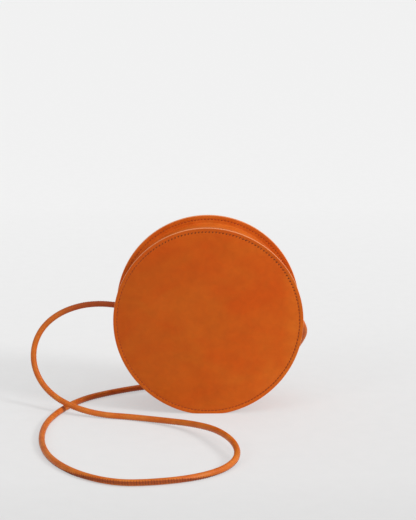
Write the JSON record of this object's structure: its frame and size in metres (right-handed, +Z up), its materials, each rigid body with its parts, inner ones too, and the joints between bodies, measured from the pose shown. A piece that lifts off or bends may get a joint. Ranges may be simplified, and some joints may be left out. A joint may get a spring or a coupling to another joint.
{
  "type": "circle bag",
  "caption": "Round leather crossbody bag: domed discs sewn raw edge out to a flanged gusset, a zip over the top and a rolled strap that lies in a loop.",
  "frame": {"origin": "on the ground under the middle of the standing bag", "axes": "+Z up, -Y out of the front panel, +X to the right as seen from the front"},
  "size_m": [0.2843, 0.3018, 0.1918],
  "materials": {
    "panel_leather": "smooth vegetable-tanned, mottled orange tan",
    "gusset_leather": "smooth vegetable-tanned, orange tan",
    "strap_leather": "rolled and edge-stitched, satin",
    "pull_leather": "folded tab, satin",
    "patch_leather": "raw suede side",
    "zip_tape": "woven tape",
    "zip_metal": "satin",
    "thread": "waxed thread"
  },
  "bodies": {
    "shell": {"front_panel_lower": "panel_leather", "back_panel": "panel_leather", "lower_gusset": "gusset_leather", "zip_strip_front_ends": "gusset_leather", "zip_strip_back": "gusset_leather", "strap": "strap_leather", "strap_knot_left": "strap_leather", "strap_knot_right": "strap_leather", "anchor_patch_left": "patch_leather", "anchor_patch_right": "patch_leather", "zip_tape_back": "zip_tape", "zip_teeth_back": "zip_metal", "zip_top_stop_front": "zip_metal", "zip_top_stop_back": "zip_metal", "zip_bottom_stop": "zip_metal", "front_seam_thread_lower": "thread", "back_seam_thread": "thread", "zip_thread_front_ends": "thread", "zip_thread_back": "thread"},
    "mouth_flap": {"front_panel_upper": "panel_leather", "zip_strip_front": "gusset_leather", "zip_tape_front": "zip_tape", "zip_teeth_front": "zip_metal", "front_seam_thread_upper": "thread", "zip_thread_front": "thread"},
    "zip_slider": {"zip_slider": "zip_metal"},
    "zip_pull": {"zip_pull": "zip_metal", "zip_pull_leather": "pull_leather"}
  },
  "joints": [
    {"name": "mouth_open", "type": "hinge", "parent": "shell", "child": "mouth_flap", "pos_m": [0, -0.039, 0.14295], "axis": [1, 0, 0], "range_deg": [0, 39], "deforming": ["zip_tape_front", "zip_teeth_front"]},
    {"name": "zip_travel", "type": "hinge", "parent": "shell", "child": "zip_slider", "pos_m": [0, 0, 0.0958], "axis": [0, 1, 0], "range_deg": [0, 117]},
    {"name": "pull_swing", "type": "hinge", "parent": "zip_slider", "child": "zip_pull", "pos_m": [-0.07566, 0, 0.14209], "axis": [0, 1, 0], "range_deg": [0, 165]}
  ],
  "couplings": [
    {"joint": "zip_travel", "follows": "mouth_open", "ratio": 3}
  ]
}
